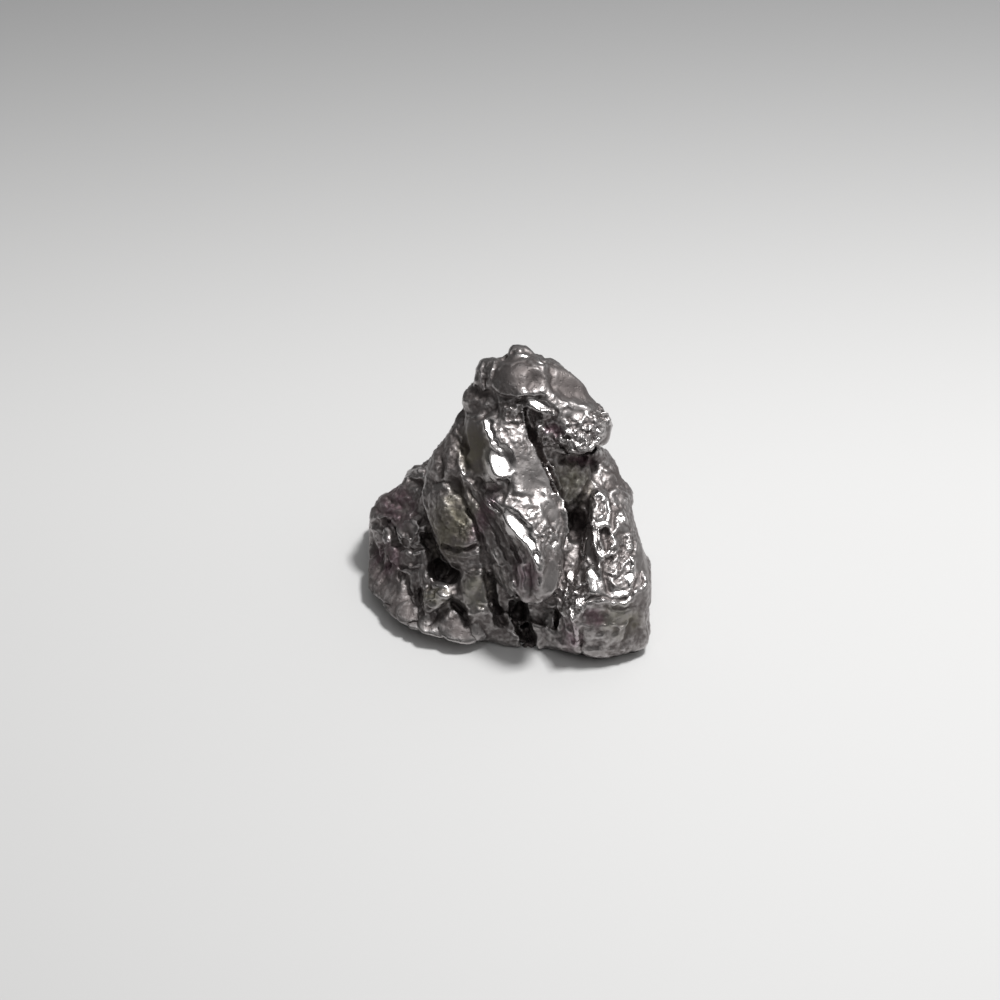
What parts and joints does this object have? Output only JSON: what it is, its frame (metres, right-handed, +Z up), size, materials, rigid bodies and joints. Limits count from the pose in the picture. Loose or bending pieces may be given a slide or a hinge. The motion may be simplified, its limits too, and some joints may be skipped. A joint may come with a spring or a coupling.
{
  "type": "iron meteorite",
  "caption": "Small iron meteorite: one rugged piece of dark nickel-iron with polished ridges, deep hollows and a flat seat to rest on.",
  "frame": {"origin": "middle of the footprint, on the surface that the stone stands on", "axes": "+Z up from the seat, +X along the stone's width, -Y towards the rugged face"},
  "size_m": [0.0284, 0.025, 0.0251],
  "materials": {
    "meteoritic_iron": "dark bare nickel-iron, polished bright on its ridges and dull, brown to olive in its hollows"
  },
  "bodies": {
    "root": {"meteorite": "meteoritic_iron"}
  },
  "joints": []
}
